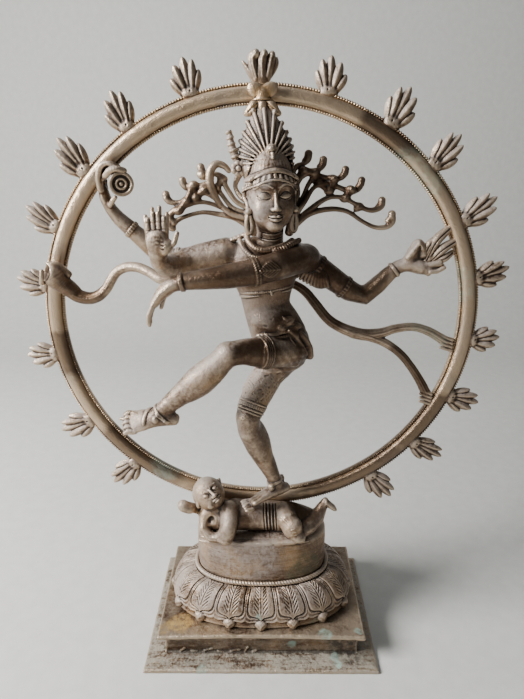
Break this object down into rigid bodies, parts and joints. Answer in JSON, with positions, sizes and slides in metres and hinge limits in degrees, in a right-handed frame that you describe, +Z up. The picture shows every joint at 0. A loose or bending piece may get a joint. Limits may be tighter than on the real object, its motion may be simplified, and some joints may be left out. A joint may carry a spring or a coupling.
{
  "type": "dancing figure statue",
  "caption": "Cast brass four-armed dancer in a ring of flames, one leg raised, standing on a small lying figure over a drum, a lotus dome and a hollow stepped plinth.",
  "frame": {"origin": "middle of the underside, on the surface that the plinth stands on", "axes": "+Z up, the front of the statue faces -Y, +X to the viewer's right"},
  "size_m": [0.4626, 0.175, 0.5843],
  "materials": {
    "base_brass": "aged, brown, satin, with dark recesses",
    "ring_brass": "aged, worn golden on the face, beaded edges dark",
    "flame_brass": "dusty pale brown over dark grooves",
    "figure_brass": "aged, pinkish grey dust, golden brown where rubbed",
    "head_brass": "aged, dark in the carving",
    "emblem_brass": "aged, dark brown satin",
    "dwarf_brass": "aged, dark brown with traces of green"
  },
  "bodies": {
    "root": {"plinth_foot": "base_brass", "plinth_slab": "base_brass", "lotus_pedestal": "base_brass", "rope_moulding": "base_brass", "drum_pedestal": "base_brass", "halo_ring": "ring_brass", "halo_lug": "ring_brass", "crown_clasp": "ring_brass", "flame_00_top": "flame_brass", "flame_01": "flame_brass", "flame_02": "flame_brass", "flame_03": "flame_brass", "flame_04": "flame_brass", "flame_05": "flame_brass", "flame_06": "flame_brass", "flame_07": "flame_brass", "flame_08": "flame_brass", "flame_09": "flame_brass", "flame_10": "flame_brass", "flame_11": "flame_brass", "flame_12": "flame_brass", "flame_13": "flame_brass", "flame_14": "flame_brass", "flame_15": "flame_brass", "flame_16": "flame_brass", "flame_17": "flame_brass", "torso": "figure_brass", "standing_leg": "figure_brass", "raised_leg": "figure_brass", "front_right_arm": "figure_brass", "front_left_arm": "figure_brass", "back_right_arm": "figure_brass", "back_left_arm": "figure_brass", "head": "head_brass", "crown": "head_brass", "hair_ornament": "head_brass", "hair_fan_left": "head_brass", "hair_fan_right": "head_brass", "hand_drum": "emblem_brass", "hand_flame": "emblem_brass", "sash": "emblem_brass", "cobra": "emblem_brass", "dwarf": "dwarf_brass"}
  },
  "joints": []
}
